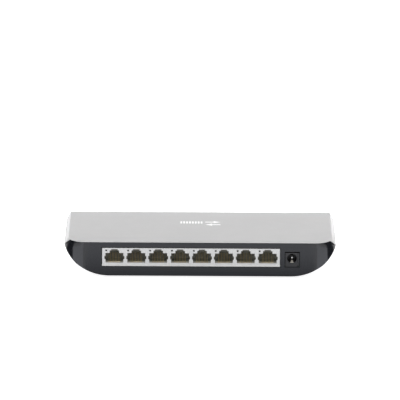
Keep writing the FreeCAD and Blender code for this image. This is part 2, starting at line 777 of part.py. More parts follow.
def contact_arm(port, contact):
    """Springy arm of one contact: it slopes up and back from its pivot at the mouth."""
    x = contact_x(port, contact)
    half = WIRE_WIDE / 2
    thick = WIRE_THICK / 2
    pivot_y = BLOCK_FACE_Y + PIVOT_DEPTH
    slope = math.radians(ARM_ANGLE)
    along = (math.cos(slope), math.sin(slope))
    across = (-along[1], along[0])
    hook_slope = slope - math.radians(40)
    bend = (pivot_y + along[0] * ARM_LENGTH, PIVOT_Z + along[1] * ARM_LENGTH)
    tip = (bend[0] + 0.9 * math.cos(hook_slope), bend[1] + 0.9 * math.sin(hook_slope))

    def off(point, side):
        return (point[0] + across[0] * thick * side, point[1] + across[1] * thick * side)

    start = (pivot_y, PIVOT_Z)
    line = [start, bend, tip]
    outline = [off(point, -1) for point in line] + [off(point, 1) for point in reversed(line)]
    strip = prism_yz(outline, x - half, x + half)
    knuckle = cylinder(KNUCKLE_R, WIRE_WIDE, x - half, pivot_y, PIVOT_Z, Vector(1, 0, 0))
    return fuse_all([strip, knuckle])


# ---------------------------------------------------------------- power socket
def jack_body():
    back = JACK_FACE_Y + JACK_DEPTH
    body = box(JACK_LOW_X, JACK_FACE_Y, BOARD_TOP, JACK_HIGH_X, back, JACK_TOP)
    body = body.makeFillet(0.35, [e for e in body.Edges if e.BoundBox.ZMax > BOARD_TOP + 0.01])
    rib = box(JACK_X, JACK_FACE_Y + 0.9, BOARD_TOP, JACK_RIB_X, back - 1, JACK_TOP - 0.4)
    body = body.fuse(rib)
    along = Vector(0, 1, 0)
    mouth = Vector(JACK_X, JACK_FACE_Y, JACK_AXIS_Z)
    root_y = JACK_FACE_Y + JACK_BORE_DEPTH
    cuts = [
        cylinder(JACK_BORE_R, JACK_BORE_DEPTH + 1, JACK_X, JACK_FACE_Y - 1, JACK_AXIS_Z, along),
        Part.makeCone(JACK_BORE_R + JACK_BORE_CHAMFER, JACK_BORE_R, JACK_BORE_CHAMFER, mouth, along),
        cylinder(JACK_ROOT_R, JACK_DEPTH, JACK_X, root_y, JACK_AXIS_Z, along),
        leaf_channel(JACK_FACE_Y + 0.6, JACK_FACE_Y + JACK_BORE_DEPTH),
        box(JACK_X - 1.2, JACK_FACE_Y + 8.6, BOARD_TOP - 1, JACK_X + 1.2, JACK_FACE_Y + 9.4, 9.5),
        switch_pocket(),
    ]
    return body.cut(cuts).removeSplitter()


def leaf_channel(y0, y1):
    """Channel below the bore that the sleeve contact moves in."""
    return box(JACK_X - 1.5, y0, 8.95, JACK_X + 1.5, y1, JACK_AXIS_Z - 2)


def switch_pocket():
    """Pocket in the side of the moulding for the switch terminal."""
    x = JACK_LOW_X
    return box(x - 1, JACK_FACE_Y + 6.0, BOARD_TOP - 1, x + 0.5, JACK_FACE_Y + 8.4, 12.5)


def jack_pin():
    """Centre pin with its riveted tail and solder leg."""
    tip_y = JACK_FACE_Y + JACK_PIN_RECESS
    dome = 0.6
    back = JACK_FACE_Y + JACK_DEPTH
    along = Vector(0, 1, 0)
    root_y = JACK_FACE_Y + JACK_BORE_DEPTH
    shaft = cylinder(JACK_PIN_R, root_y - tip_y - dome, JACK_X, tip_y + dome, JACK_AXIS_Z, along)
    root = cylinder(JACK_ROOT_R, back - root_y, JACK_X, root_y, JACK_AXIS_Z, along)
    tip = Part.makeCone(0.4, JACK_PIN_R, dome, Vector(JACK_X, tip_y, JACK_AXIS_Z), along)
    leg = box(JACK_X - 1.2, back, PIN_LOW, JACK_X + 1.2, back + 0.4, JACK_AXIS_Z + 1.3)
    return fuse_all([shaft, root, tip, leg])


def leaf_strip(line, half):
    """Strip of the sleeve contact along (depth, z) points."""
    upper = [(JACK_FACE_Y + d, z) for d, z in line]
    lower = [(JACK_FACE_Y + d, z - LEAF_THICK) for d, z in reversed(line)]
    return prism_yz(upper + lower, JACK_X - half, JACK_X + half)


def jack_spring():
    """Sleeve contact: a leaf that bows up into the barrel, with a ramp and a flare at the mouth."""
    root = (LEAF_PIVOT_DEPTH, LEAF_PIVOT_Z)
    shoulder = (5.0, 11.7)
    crest = (3.8, 12.05)
    dip = (2.5, 11.45)
    mouth = (1.5, 11.4)
    tip = (0.9, 10.95)
    leaf = leaf_strip([root, shoulder], LEAF_HALF)
    neck = leaf_strip([(5.2, 11.62), shoulder, crest, dip, (1.3, 11.39)], LEAF_NECK_HALF)
    flare = leaf_strip([mouth, tip], LEAF_FLARE_HALF)
    knuckle = cylinder(
        LEAF_THICK / 2 + 0.05,
        2 * LEAF_HALF,
        JACK_X - LEAF_HALF,
        JACK_FACE_Y + LEAF_PIVOT_DEPTH,
        LEAF_PIVOT_Z - LEAF_THICK / 2,
        Vector(1, 0, 0),
    )
    return fuse_all([leaf, neck, flare, knuckle])


def jack_spring_terminal():
    y = JACK_FACE_Y + LEAF_PIVOT_DEPTH
    return box(JACK_X - 0.9, y - 0.05, PIN_LOW, JACK_X + 0.9, y + 0.3, LEAF_PIVOT_Z - 0.5)


def jack_switch_terminal():
    x = JACK_LOW_X
    plate = box(x, JACK_FACE_Y + 6.3, BOARD_TOP, x + 0.4, JACK_FACE_Y + 8.1, 12.2)
    leg = box(x, JACK_FACE_Y + 6.7, PIN_LOW, x + 0.4, JACK_FACE_Y + 7.7, BOARD_TOP + 0.2)
    return fuse_all([plate, leg])


# ---------------------------------------------------------------- circuit board and its parts
def circuit_board():
    board = box(-BOARD_HALF_X, BOARD_REAR, BOARD_BOTTOM, BOARD_HALF_X, BOARD_FRONT, BOARD_TOP)
    corners = [e for e in board.Edges if abs(e.BoundBox.ZLength - BOARD_THICK) < 1e-6]
    board = board.makeFillet(3.0, corners)
    low = BOARD_BOTTOM - 1
    tall = BOARD_THICK + 2
    cuts = []
    for x, y in BOARD_SCREW_XY:
        cuts.append(cylinder(BOARD_SHANK_R + 0.3, tall, x, y, low))
    for x in (-CASE_SCREW_X, CASE_SCREW_X):
        cuts.append(cylinder(CASE_BOSS_R + 0.6, tall, x, CASE_SCREW_Y, low))
        side = 1 if x > 0 else -1
        x0, x1 = sorted((x, side * (BOARD_HALF_X + 1)))
        half = CASE_BOSS_R + 0.6
        cuts.append(box(x0, CASE_SCREW_Y - half, low, x1, CASE_SCREW_Y + half, low + tall))
    for i in range(PORTS):
        for k in range(CONTACTS):
            cuts.append(
                cylinder(0.42, tall, contact_x(i, k), BLOCK_FACE_Y + PIN_DEPTHS[k % 2], low)
            )
    for i in PEG_PORTS:
        cuts.append(cylinder(PEG_R + 0.1, tall, port_x(i), PEG_Y, low))
    for x in (BLOCK_X - BLOCK_HALF + SHEET / 2, BLOCK_X + BLOCK_HALF - SHEET / 2):
        for y in SHIELD_TAB_Y:
            cuts.append(slot(y - 0.4, y + 0.4, 0.4, x, low, low + tall, True))
    pin_y = JACK_FACE_Y + JACK_DEPTH + 0.2
    cuts.append(slot(JACK_X - 1.0, JACK_X + 1.0, 0.5, pin_y, low, low + tall))
    spring_y = JACK_FACE_Y + LEAF_PIVOT_DEPTH + 0.12
    cuts.append(slot(JACK_X - 0.8, JACK_X + 0.8, 0.5, spring_y, low, low + tall))
    switch_x = JACK_LOW_X + 0.2
    y0, y1 = JACK_FACE_Y + 6.9, JACK_FACE_Y + 7.5
    cuts.append(slot(y0, y1, 0.5, switch_x, low, low + tall, True))
    return board.cut(cuts)


def gull_leads(half_x, half_y, centre, count, pitch, wide, reach, rise, sides):
    """Rows of gull-wing leads along the chosen sides of a package that stands on the board."""
    cx, cy = centre
    along_x = {"rear": -1, "front": 1}
    along_y = {"left": -1, "right": 1}
    leads = []
    for side in sides:
        outward = along_x.get(side) or along_y[side]
        start = (half_y if side in along_x else half_x) - 0.2
        for i in range(count):
            shift = (i - (count - 1) / 2) * pitch
            for near, far, z0, z1 in (
                (start, start + 0.2 + reach, BOARD_TOP + rise, BOARD_TOP + rise + 0.2),
                (start + 0.2 + reach / 2, start + 0.2 + reach, BOARD_TOP, BOARD_TOP + rise + 0.1),
            ):
                a, b = sorted((outward * near, outward * far))
                low, high = shift - wide / 2, shift + wide / 2
                if side in along_x:
                    leads.append(box(cx + low, cy + a, z0, cx + high, cy + b, z1))
                else:
                    leads.append(box(cx + a, cy + low, z0, cx + b, cy + high, z1))
    return leads


def package(half_x, half_y, height, centre, chamfer, leads):
    """Moulded component body, clear of the board by a hair, with its leads."""
    cx, cy = centre
    top = BOARD_TOP + height
    body = box(cx - half_x, cy - half_y, BOARD_TOP + 0.1, cx + half_x, cy + half_y, top)
    body = body.makeChamfer(chamfer, [e for e in body.Edges if e.BoundBox.ZMin > top - 0.01])
    return fuse_all([body] + leads)


def transformer(i):
    centre = ((port_x(2 * i) + port_x(2 * i + 1)) / 2, TRANSFORMER_Y)
    half_x, half_y = TRANSFORMER_HALF
    leads = gull_leads(half_x, half_y, centre, 12, 1.27, 0.45, 1.3, 0.8, ("rear", "front"))
    return package(half_x, half_y, 6.4, centre, 0.5, leads)


def switch_chip():
    leads = gull_leads(
        CHIP_HALF, CHIP_HALF, CHIP_XY, 32, 0.65, 0.3, 1.2, 0.5, ("rear", "front", "left", "right")
    )
    return package(CHIP_HALF, CHIP_HALF, CHIP_TOP - BOARD_TOP, CHIP_XY, 0.2, leads)


def thermal_pad():
    x, y = CHIP_XY
    top = CHIP_TOP + PAD_THICK
    return box(x - PAD_HALF, y - PAD_HALF, CHIP_TOP, x + PAD_HALF, y + PAD_HALF, top)


def heat_sink():
    x, y = CHIP_XY
    low = CHIP_TOP + PAD_THICK
    high = low + SINK_BASE
    y0, y1 = y - SINK_HALF, y + SINK_HALF
    parts = [box(x - SINK_HALF, y0, low, x + SINK_HALF, y1, high)]
    spacing = (2 * SINK_HALF - FIN_THICK) / (SINK_FINS - 1)
    for i in range(SINK_FINS):
        fx = x - SINK_HALF + i * spacing
        parts.append(box(fx, y0, high - 0.2, fx + FIN_THICK, y1, SINK_TOP))
    return fuse_all(parts)


def small_outline_chip(x, y):
    leads = gull_leads(2.5, 2.0, (x, y), 4, 1.27, 0.42, 1.0, 0.5, ("rear", "front"))
    return package(2.5, 2.0, 1.7, (x, y), 0.15, leads)


def crystal():
    """Low metal can with rounded ends on a flange."""
    x, y = 25.0, 22.0
    can = slot(x - 3.2, x + 3.2, 2.1, y, BOARD_TOP + 0.5, BOARD_TOP + 3.6)
    flange = slot(x - 3.2, x + 3.2, 2.5, y, BOARD_TOP, BOARD_TOP + 0.5)
    return fuse_all([can, flange])


def electrolytic(x, y, radius, height):
    """Aluminium can with a crimp groove near its seal."""
    base = cylinder(radius, 1.2, x, y, BOARD_TOP)
    waist = cylinder(radius - 0.35, 0.8, x, y, BOARD_TOP + 1.2)
    can = cylinder(radius, height - 2.0, x, y, BOARD_TOP + 2.0)
    rim = [e for e in can.Edges if e.BoundBox.ZMin > BOARD_TOP + height - 0.01]
    return fuse_all([base, waist, can.makeFillet(0.5, rim)])


def power_inductor():
    x, y = 52.0, 14.0
    body = box(x - 4.2, y - 4.2, BOARD_TOP, x + 4.2, y + 4.2, BOARD_TOP + 4.2)
    upright = [e for e in body.Edges if abs(e.BoundBox.ZLength - 4.2) < 1e-6]
    return body.makeFillet(1.2, upright)


def input_diode():
    x, y = 50.0, -8.0
    body = box(x - 2.3, y - 1.4, BOARD_TOP + 0.1, x + 2.3, y + 1.4, BOARD_TOP + 2.2)
    tabs = [
        box(x + s * 2.3 - 0.5, y - 0.8, BOARD_TOP, x + s * 2.3 + 0.5, y + 0.8, BOARD_TOP + 0.5)
        for s in (-1, 1)
    ]
    return fuse_all([body] + tabs)


def chip_components():
    """Resistors and ceramic capacitors, in rows beside the larger parts."""
    half_x, half_y, high = 0.8, 0.4, 0.6
    places = []
    for i in range(PORTS * 2):
        places.append((BLOCK_X + (i - (PORTS * 2 - 1) / 2) * PORT_PITCH / 2, -24.4))
    for i in range(10):
        places.append((-20.0 + 4.4 * i, -6.6))
        places.append((-20.0 + 4.4 * i, 26.5))
    for i in range(6):
        places.append((-22.0, -2.0 + 4.2 * i))
        places.append((20.5, -3.0 + 3.4 * i))
    for i in range(INDICATORS):
        places.append((indicator_x(i) + 4.0, LED_Y - 3.6))
    for i in range(5):
        places.append((-52.0 + 4.0 * i, 3.0))
        places.append((-52.0 + 4.0 * i, 17.0))
    return [
        box(x - half_x, y - half_y, BOARD_TOP, x + half_x, y + half_y, BOARD_TOP + high)
        for x, y in places
    ]


# ---------------------------------------------------------------- fasteners, feet, label
def cross_recess(x, y, z, down, size):
    """Cross-shaped driver recess cut into a screw head."""
    depth = 0.9
    z0, z1 = (z - depth, z + 0.5) if down else (z - 0.5, z + depth)
    return [
        box(x - size, y - 0.35, z0, x + size, y + 0.35, z1),
        box(x - 0.35, y - size, z0, x + 0.35, y + size, z1),
    ]


def housing_screws():
    screws = []
    for x in (-CASE_SCREW_X, CASE_SCREW_X):
        low = CASE_HEAD_Z - CASE_HEAD_H
        head = cylinder(CASE_HEAD_R, CASE_HEAD_H, x, CASE_SCREW_Y, low)
        head = head.makeFillet(0.6, [e for e in head.Edges if e.BoundBox.ZMax < low + 0.01])
        shank = cylinder(CASE_SHANK_R, CASE_SHANK_L, x, CASE_SCREW_Y, CASE_HEAD_Z - 0.1)
        screw = fuse_all([head, shank]).cut(cross_recess(x, CASE_SCREW_Y, low, False, 1.5))
        screws.append(screw)
    return screws


def board_screws():
    screws = []
    for x, y in BOARD_SCREW_XY:
        top = BOARD_TOP + BOARD_HEAD_H
        head = cylinder(BOARD_HEAD_R, BOARD_HEAD_H, x, y, BOARD_TOP)
        head = head.makeFillet(0.5, [e for e in head.Edges if e.BoundBox.ZMin > top - 0.01])
        shank = cylinder(BOARD_SHANK_R, BOARD_SHANK_L + 0.1, x, y, BOARD_TOP - BOARD_SHANK_L)
        screws.append(fuse_all([head, shank]).cut(cross_recess(x, y, top, True, 1.3)))
    return screws


def foot(x, y):
    """Stick-on rubber foot with a softened rim, seated in a shallow recess."""
    disc = cylinder(FOOT_R, FOOT_HEIGHT + FOOT_SEAT, x, y, 0)
    return disc.makeFillet(0.5, [e for e in disc.Edges if e.BoundBox.ZMax < 0.01])


def rating_label():
    """Blank adhesive label with rounded corners."""
    sx, sy, thick = LABEL_SIZE
    plate = box(-sx / 2, LABEL_Y - sy / 2, BASE_Z - thick, sx / 2, LABEL_Y + sy / 2, BASE_Z)
    return plate.makeFillet(1.5, [e for e in plate.Edges if abs(e.BoundBox.ZLength - thick) < 1e-6])


# ---------------------------------------------------------------- assembly
def main():
    os.makedirs("parts", exist_ok=True)
    hull = hull_form()
    cover_skirt = skirt_form(HALF - COVER_INSET)
    housing_skirt = skirt_form(HALF)
    cavity = cavity_form()
    envelope = side_envelope()
    export("top_cover", top_cover(cover_skirt, cavity, envelope))
    export("bottom_housing", bottom_housing(hull, housing_skirt, cavity, envelope))
    export("front_window", front_window())
    export("light_pipe", light_pipe())
    export("indicator_leds", indicator_leds())
    export("circuit_board", circuit_board())

    export("port_shield", port_shield())
    export("port_housing", port_housing())
    tails = [contact_tail(p, k) for p in range(PORTS) for k in range(CONTACTS)]
    export("port_contact_tails", tails)
    for p in range(PORTS):
        export(f"port_{p + 1}_contacts", [contact_arm(p, k) for k in range(CONTACTS)])

    export("dc_jack_body", jack_body())
    export("dc_jack_pin", jack_pin())
    export("dc_jack_spring", jack_spring())
    export("dc_jack_spring_terminal", jack_spring_terminal())
    export("dc_jack_switch_terminal", jack_switch_terminal())

    for i in range(TRANSFORMERS):
        export(f"transformer_{i + 1}", transformer(i))
    export("switch_chip", switch_chip())
    export("thermal_pad", thermal_pad())
    export("heat_sink", heat_sink())
    export("crystal", crystal())
    export("memory_chip", small_outline_chip(-30.0, 22.0))
    export("regulator_1", small_outline_chip(40.0, 14.0))
    export("regulator_2", small_outline_chip(40.0, 24.0))
    export("power_inductor", power_inductor())
    export("input_capacitor", electrolytic(61.0, -17.0, 4.0, 11.0))
    export("output_capacitor", electrolytic(50.0, 26.0, 3.2, 9.0))
    export("input_diode", input_diode())
    export("chip_components", chip_components())

    export("housing_screws", housing_screws())
    export("board_screws", board_screws())
    export("foot_rear_left", foot(-FOOT_X, FOOT_REAR_Y))
    export("foot_rear_right", foot(FOOT_X, FOOT_REAR_Y))
    export("foot_front_left", foot(-FOOT_X, FOOT_FRONT_Y))
    export("foot_front_right", foot(FOOT_X, FOOT_FRONT_Y))
    export("rating_label", rating_label())


main()
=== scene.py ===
"""Looks of an eight-port desktop network switch: materials, edges, printed marks, light and camera.

Lengths are metres in the shared frame, unless a section says otherwise: +Z up, -Y the side with
the sockets, +Y the side with the indicator window.
"""

import json
import math

import bpy
from mathutils import Matrix, Vector


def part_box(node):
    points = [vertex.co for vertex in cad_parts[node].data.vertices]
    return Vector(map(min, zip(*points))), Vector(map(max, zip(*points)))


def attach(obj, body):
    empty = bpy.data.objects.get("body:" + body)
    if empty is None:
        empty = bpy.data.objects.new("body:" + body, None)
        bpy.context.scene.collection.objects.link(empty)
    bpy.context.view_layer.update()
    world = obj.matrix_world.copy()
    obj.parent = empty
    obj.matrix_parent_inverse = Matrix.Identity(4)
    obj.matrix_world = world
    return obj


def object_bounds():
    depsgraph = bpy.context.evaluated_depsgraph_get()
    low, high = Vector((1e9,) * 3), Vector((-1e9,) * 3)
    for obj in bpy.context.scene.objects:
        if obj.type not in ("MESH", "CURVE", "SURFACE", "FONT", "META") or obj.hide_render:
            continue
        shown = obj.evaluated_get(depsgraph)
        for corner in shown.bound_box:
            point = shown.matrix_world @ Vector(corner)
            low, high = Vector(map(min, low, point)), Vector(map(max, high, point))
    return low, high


MM = 0.001
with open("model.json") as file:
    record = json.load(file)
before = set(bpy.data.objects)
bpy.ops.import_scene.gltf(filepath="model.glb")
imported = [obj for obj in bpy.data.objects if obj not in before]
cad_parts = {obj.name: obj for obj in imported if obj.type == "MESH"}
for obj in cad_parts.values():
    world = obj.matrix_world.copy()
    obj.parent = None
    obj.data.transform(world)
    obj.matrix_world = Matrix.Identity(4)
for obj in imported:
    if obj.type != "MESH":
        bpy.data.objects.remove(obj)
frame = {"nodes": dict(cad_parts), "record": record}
cad_box = [[float(c) for c in corner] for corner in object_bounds()]
NODES = frame["nodes"]
REAR_Y = cad_box[0][1]  # the wall with the sockets
scene = bpy.context.scene


# ---------------------------------------------------------------- camera, light and floor
CAMERA_ELEVATION = 13.0
CAMERA_ROLL = 0.32
CAMERA_DISTANCE = 3.5
CAMERA_LENS = 475.7
CAMERA_CLIP = (0.05, 50.0)
SENSOR_WIDTH = 36.0
AIM = Vector((-0.26 * MM, REAR_Y, 53.6 * MM))

WORLD_STRENGTH = 0.60
WORLD_LOW_COLOUR = (0.55, 0.55, 0.56, 1)  # below and at the horizon
WORLD_HIGH_COLOUR = (1.0, 1.0, 1.0, 1)  # overhead
WORLD_FADE = (0.45, 0.85)  # where the fade starts and ends, from 0 straight down to 1 straight up

FLOOR_HALF = 6.0
FLOOR_COLOUR = (0.62, 0.62, 0.62, 1)
FLOOR_GLOW = 0.88

# Soft boxes: name, place, the point it faces, its two sides, watts.
SOFT_BOXES = (
    ("left_softbox", (-1.25, 0.85, 0.8), (0, 0, 0.02), (0.9, 1.2), 13.2),
    ("right_softbox", (1.25, 0.85, 0.8), (0, 0, 0.02), (0.9, 1.2), 14.2),
    ("top_softbox", (0.0, 0.5, 1.8), (0, 0, 0), (1.6, 1.2), 9.0),
    ("front_fill", (0.0, -2.4, 0.9), (0, 0, 0), (1.4, 0.8), 13.6),
)


def make_camera():
    """Long lens a little above the switch, facing the wall with the sockets."""
    data = bpy.data.cameras.new("camera")
    data.lens = CAMERA_LENS
    data.sensor_width = SENSOR_WIDTH
    data.clip_start, data.clip_end = CAMERA_CLIP
    camera = bpy.data.objects.new("camera", data)
    scene.collection.objects.link(camera)
    tilt = math.radians(CAMERA_ELEVATION)
    back = Vector((0.0, -math.cos(tilt), math.sin(tilt)))
    look = (-back).to_track_quat("-Z", "Y")
    roll = Matrix.Rotation(math.radians(CAMERA_ROLL), 4, "Z")
    place = Matrix.Translation(AIM + back * CAMERA_DISTANCE)
    camera.matrix_world = place @ look.to_matrix().to_4x4() @ roll
    scene.camera = camera


def area_light(name, place, aim, size, power):
    """Soft box at `place` that faces `aim`."""
    data = bpy.data.lights.new(name, "AREA")
    data.shape = "RECTANGLE"
    data.size = size[0]
    data.size_y = size[1]
    data.energy = power
    lamp = bpy.data.objects.new(name, data)
    scene.collection.objects.link(lamp)
    turn = (Vector(aim) - Vector(place)).to_track_quat("-Z", "Y")
    lamp.matrix_world = Matrix.Translation(Vector(place)) @ turn.to_matrix().to_4x4()


def make_world():
    """Even studio surroundings, a little darker low down."""
    world = bpy.data.worlds.new("studio")
    scene.world = world
    world.use_nodes = True
    nodes = world.node_tree.nodes
    links = world.node_tree.links
    background = nodes["Background"]
    coords = nodes.new("ShaderNodeTexCoord")
    split = nodes.new("ShaderNodeSeparateXYZ")
    ramp = nodes.new("ShaderNodeValToRGB")
    links.new(coords.outputs["Generated"], split.inputs[0])
    shift = nodes.new("ShaderNodeMath")
    shift.operation = "MULTIPLY_ADD"
    shift.inputs[1].default_value = 0.5
    shift.inputs[2].default_value = 0.5
    links.new(split.outputs["Z"], shift.inputs[0])
    links.new(shift.outputs[0], ramp.inputs[0])
    low, high = ramp.color_ramp.elements
    low.position, high.position = WORLD_FADE
    low.color = WORLD_LOW_COLOUR
    high.color = WORLD_HIGH_COLOUR
    links.new(ramp.outputs[0], background.inputs["Color"])
    background.inputs["Strength"].default_value = WORLD_STRENGTH


def make_floor():
    """Plain pale floor with a glow of its own, so that it stays even and nearly white."""
    mesh = bpy.data.meshes.new("floor")
    corners = [(x * FLOOR_HALF, y * FLOOR_HALF, 0) for x, y in ((-1, -1), (1, -1), (1, 1), (-1, 1))]
    mesh.from_pydata(corners, [], [(0, 1, 2, 3)])
    floor = bpy.data.objects.new("floor", mesh)
    scene.collection.objects.link(floor)
    t = Tree("floor")
    t.set("Base Color", FLOOR_COLOUR)
    t.set("Roughness", 0.75)
    t.set("Specular IOR Level", 0.1)
    t.set("Emission Color", (1, 1, 1, 1))
    t.set("Emission Strength", FLOOR_GLOW)
    floor.data.materials.append(t.material)


# Staging that the camera does not see and that shows as reflections in the switch; only the flags
# also dim its diffuse light. Azimuths are in degrees from -Y towards the card's own side.
CARD_COLOUR = (0.96, 0.98, 1.04, 1)
CARD_HEIGHT = 0.05 * MM
ARC_STEPS = 8
CORNER_CENTRE = Vector((77.5 * MM, REAR_Y + 13.0 * MM, CARD_HEIGHT))
# Fans on the floor round each corner: name, first and last azimuth, glow, reach.
SIDE_CARDS = (("white_card", 3.0, 63.0, 2.25, 0.16), ("black_card", 63.0, 113.0, 0.05, 0.42))
# Card on the floor in front of the wall with the sockets.
REAR_CARD_REACH = 0.30
REAR_CARD_GLOW_NEAR = 0.55
REAR_CARD_GLOW_FAR = 1.45
REAR_CARD_FADE = 75.0 * MM
# Dark upright screens at both sides.
FLAG_AZIMUTHS = (66.0, 113.0)
FLAG_DISTANCE = 0.40
FLAG_HEIGHT = 0.45
FLAG_GLOW = 0.04
# Low upright strip behind the switch.
HORIZON_CARD_Y = 0.9
HORIZON_CARD_HALF = 0.45
HORIZON_CARD_TOP = 0.06
HORIZON_CARD_GLOW = 12.0


def arc(azimuths):
    """Angles in radians, in even steps between two azimuths."""
    first, last = azimuths
    return [math.radians(first + (last - first) * i / ARC_STEPS) for i in range(ARC_STEPS + 1)]


def reflection_card(name, corners, faces, near, far, run=1.0):
    """Card whose glow runs from `near` to `far` over the distance `run` away from REAR_Y."""
    mesh = bpy.data.meshes.new(name)
    mesh.from_pydata(corners, [], faces)
    card = bpy.data.objects.new(name, mesh)
    scene.collection.objects.link(card)
    material = bpy.data.materials.new(name)
    material.use_nodes = True
    nodes = material.node_tree.nodes
    links = material.node_tree.links
    nodes.remove(nodes["Principled BSDF"])
    glow = nodes.new("ShaderNodeEmission")
    glow.inputs["Color"].default_value = CARD_COLOUR
    coords = nodes.new("ShaderNodeTexCoord")
    split = nodes.new("ShaderNodeSeparateXYZ")
    fade = nodes.new("ShaderNodeMapRange")
    fade.inputs["From Min"].default_value = REAR_Y
    fade.inputs["From Max"].default_value = REAR_Y - run
    fade.inputs["To Min"].default_value = near
    fade.inputs["To Max"].default_value = far
    links.new(coords.outputs["Object"], split.inputs[0])
    links.new(split.outputs["Y"], fade.inputs["Value"])
    links.new(fade.outputs["Result"], glow.inputs["Strength"])
    links.new(glow.outputs[0], nodes["Material Output"].inputs["Surface"])
    mesh.materials.append(material)
    card.visible_camera = False
    card.visible_diffuse = False
    card.visible_shadow = False
    card.visible_transmission = False
    return card


def make_rear_card():
    """Card that gives the wall with the sockets its soft gradient."""
    half = CORNER_CENTRE.x
    front = REAR_Y - REAR_CARD_REACH
    corners = [(-half, front, CARD_HEIGHT), (half, front, CARD_HEIGHT),
               (half, REAR_Y, CARD_HEIGHT), (-half, REAR_Y, CARD_HEIGHT)]
    reflection_card("rear_card", corners, [(0, 1, 2, 3)],
                    REAR_CARD_GLOW_NEAR, REAR_CARD_GLOW_FAR, REAR_CARD_FADE)


def make_side_cards(side, tag):
    """White and black fans on the floor, which give a corner its light and dark band."""
    centre = Vector((side * CORNER_CENTRE.x, CORNER_CENTRE.y, CORNER_CENTRE.z))
    faces = [(0, i, i + 1) for i in range(1, ARC_STEPS + 1)]
    for name, first, last, glow, reach in SIDE_CARDS:
        corners = [tuple(centre)]
        for angle in arc((first, last)):
            away = Vector((side * math.sin(angle), -math.cos(angle), 0))
            corners.append(tuple(centre + reach * away))
        reflection_card(f"{name}_{tag}", corners, faces, glow, glow)


def make_flag(side, tag):
    """Dark upright screen beside the switch, which darkens its side and the outline there."""
    corners = []
    for angle in arc(FLAG_AZIMUTHS):
        x = side * (CORNER_CENTRE.x + FLAG_DISTANCE * math.sin(angle))
        y = CORNER_CENTRE.y - FLAG_DISTANCE * math.cos(angle)
        corners += [(x, y, CARD_HEIGHT), (x, y, FLAG_HEIGHT)]
    faces = [(2 * i, 2 * i + 2, 2 * i + 3, 2 * i + 1) for i in range(ARC_STEPS)]
    flag = reflection_card(f"flag_{tag}", corners, faces, FLAG_GLOW, FLAG_GLOW)
    flag.visible_diffuse = True


def make_horizon_card():
    """Bright low strip behind the switch, which lights up where its top rolls away."""
    half = HORIZON_CARD_HALF
    corners = [(-half, HORIZON_CARD_Y, CARD_HEIGHT), (half, HORIZON_CARD_Y, CARD_HEIGHT),
               (half, HORIZON_CARD_Y, HORIZON_CARD_TOP), (-half, HORIZON_CARD_Y, HORIZON_CARD_TOP)]
    reflection_card("horizon_card", corners, [(0, 1, 2, 3)], HORIZON_CARD_GLOW, HORIZON_CARD_GLOW)


def make_studio():
    """Camera, floor, cards and lights."""
    make_camera()
    make_world()
    make_floor()
    make_rear_card()
    sides = ((-1, "left"), (1, "right"))
    for side, tag in sides:
        make_side_cards(side, tag)
    for side, tag in sides:
        make_flag(side, tag)
    make_horizon_card()
    for name, place, aim, size, power in SOFT_BOXES:
        area_light(name, place, aim, size, power)
    scene.view_settings.view_transform = "Standard"
    scene.view_settings.look = "None"


# ---------------------------------------------------------------- material building
# Places of the colour sockets among all the sockets of a Mix node.
MIX_FIRST = 6
MIX_SECOND = 7
MIX_RESULT = 2

METAL_GRAIN = 0.08 * MM
METAL_GRAIN_DEPTH = 0.002 * MM


